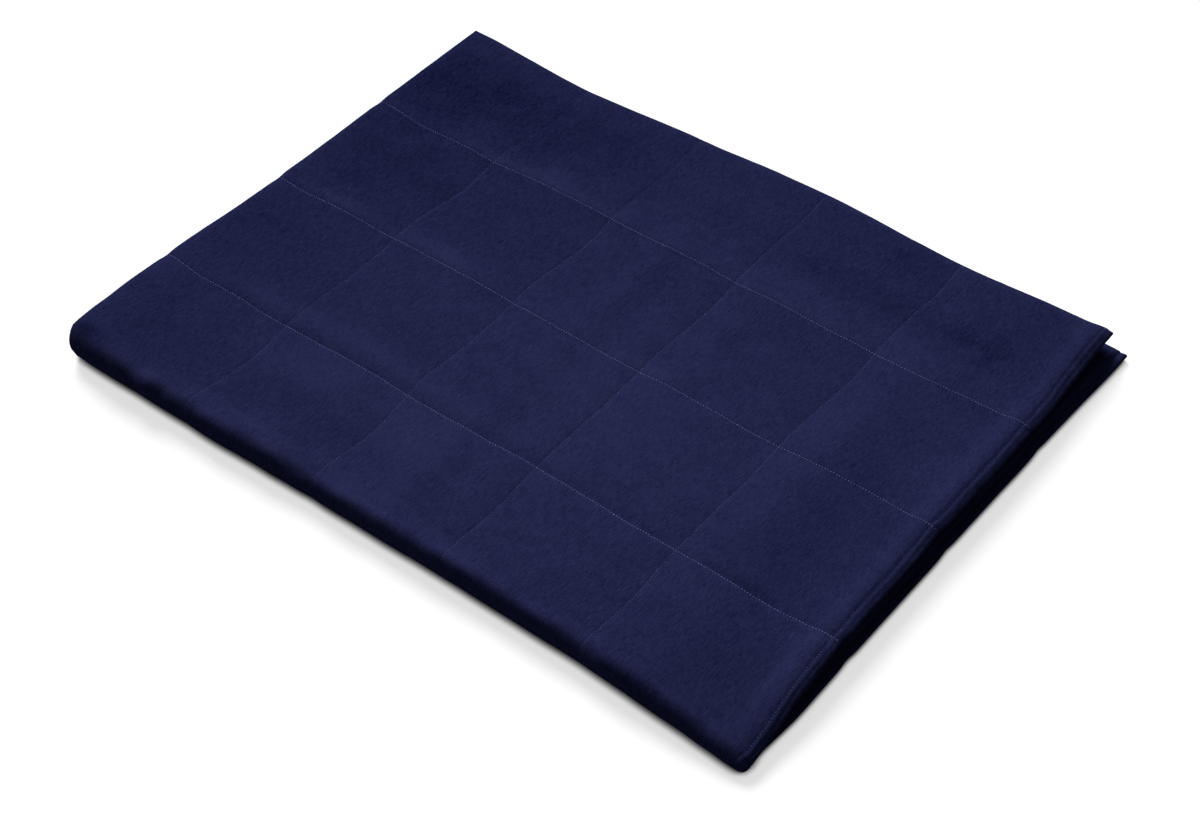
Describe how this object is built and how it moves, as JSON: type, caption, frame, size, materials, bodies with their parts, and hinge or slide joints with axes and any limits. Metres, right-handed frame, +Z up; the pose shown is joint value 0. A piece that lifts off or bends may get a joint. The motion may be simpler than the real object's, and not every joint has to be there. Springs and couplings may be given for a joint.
{
  "type": "weighted blanket",
  "caption": "Quilted, evenly filled weighted blanket, folded once in half and lying flat, with turned seams and a topstitched hem.",
  "frame": {"origin": "on the resting surface, under the middle of the folded blanket's box", "axes": "+X runs along the fold from the turned seam to the topstitched hem, +Y from the fold to the open far edges, +Z up"},
  "size_m": [1.024, 0.7518, 0.0471],
  "materials": {
    "brushed_cloth": "dark navy brushed cloth, soft matt nap, tone-on-tone quilting thread"
  },
  "bodies": {
    "root": {"blanket": "brushed_cloth"}
  },
  "joints": []
}
